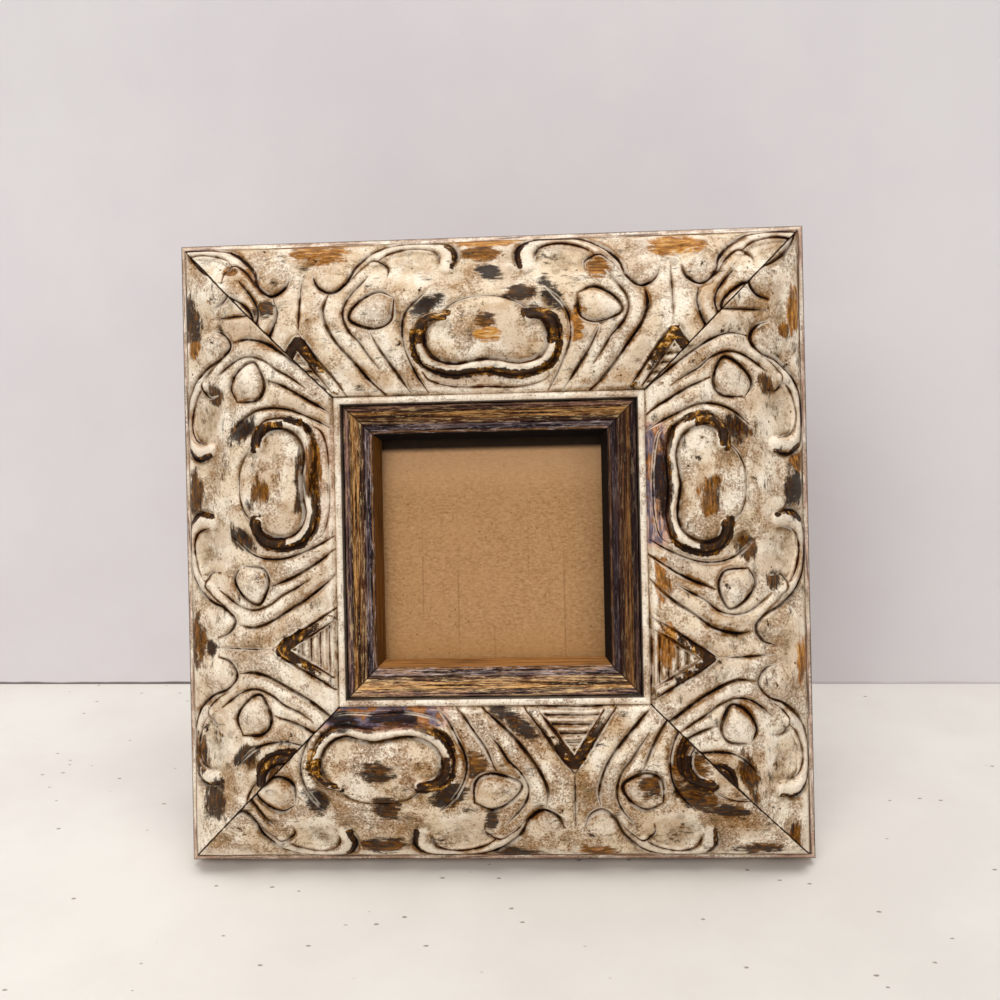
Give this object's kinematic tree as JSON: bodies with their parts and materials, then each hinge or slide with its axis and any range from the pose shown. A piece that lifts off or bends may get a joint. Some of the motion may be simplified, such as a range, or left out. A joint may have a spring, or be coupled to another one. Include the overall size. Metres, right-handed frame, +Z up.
{
  "type": "picture frame",
  "caption": "Square table-top picture frame with a very wide whitewashed baroque moulding, dark gilt slip, glass, kraft board, easel back, folding strut and turn buttons.",
  "frame": {"origin": "middle of the rectangle on the ground under the whole object, as it stands on its strut", "axes": "+X to the right seen from the front, +Y from the front to the back, +Z up; the frame leans back 12 degrees"},
  "size_m": [0.254, 0.1016, 0.252],
  "materials": {
    "whitewashed_wood": "matt cream whitewash over brown, speckled and rubbed",
    "painted_composition": "moulded composition ornament, cream paint with brown in the hollows and rubbed gilt on the high forms",
    "dark_gilt_wood": "dark burgundy paint with gold-brown streaks, satin",
    "glass": "clear",
    "kraft_board": "corrugated board in kraft paper",
    "black_hardboard": "hardboard covered with black paper",
    "brassed_steel": "satin brass",
    "zinc_steel": "bright zinc"
  },
  "bodies": {
    "frame": {"top_rail": "whitewashed_wood", "right_rail": "whitewashed_wood", "bottom_rail": "whitewashed_wood", "left_rail": "whitewashed_wood", "top_ornament": "painted_composition", "right_ornament": "painted_composition", "bottom_ornament": "painted_composition", "left_ornament": "painted_composition", "top_slip": "dark_gilt_wood", "right_slip": "dark_gilt_wood", "bottom_slip": "dark_gilt_wood", "left_slip": "dark_gilt_wood", "glass_pane": "glass", "picture_board": "kraft_board", "filler_board_front": "kraft_board", "filler_board_rear": "kraft_board", "easel_back": "black_hardboard", "hinge_leaf_fixed": "brassed_steel", "hinge_pin": "zinc_steel", "back_rivets": "zinc_steel", "turn_button_screws": "zinc_steel", "corner_nails": "zinc_steel", "sawtooth_hanger": "brassed_steel", "hanger_nails": "zinc_steel"},
    "strut": {"strut_leg": "black_hardboard", "hinge_leaf_moving": "brassed_steel", "strut_rivets": "zinc_steel"},
    "button_upper_left": {"turn_button_upper_left": "brassed_steel"},
    "button_upper_right": {"turn_button_upper_right": "brassed_steel"},
    "button_lower_left": {"turn_button_lower_left": "brassed_steel"},
    "button_lower_right": {"turn_button_lower_right": "brassed_steel"}
  },
  "joints": [
    {"name": "strut_hinge", "type": "hinge", "parent": "frame", "child": "strut", "pos_m": [0, 0.01641, 0.15624], "axis": [-1, 0, 0], "range_deg": [0, 24]},
    {"name": "button_upper_left_turn", "type": "hinge", "parent": "frame", "child": "button_upper_left", "pos_m": [-0.0593, 0.01405, 0.15143], "axis": [0, 0.9781, -0.2079], "continuous": true},
    {"name": "button_upper_right_turn", "type": "hinge", "parent": "frame", "child": "button_upper_right", "pos_m": [0.0593, 0.01405, 0.15143], "axis": [0, 0.9781, -0.2079], "continuous": true},
    {"name": "button_lower_left_turn", "type": "hinge", "parent": "frame", "child": "button_lower_left", "pos_m": [-0.0593, 0.00241, 0.09665], "axis": [0, 0.9781, -0.2079], "continuous": true},
    {"name": "button_lower_right_turn", "type": "hinge", "parent": "frame", "child": "button_lower_right", "pos_m": [0.0593, 0.00241, 0.09665], "axis": [0, 0.9781, -0.2079], "continuous": true}
  ]
}
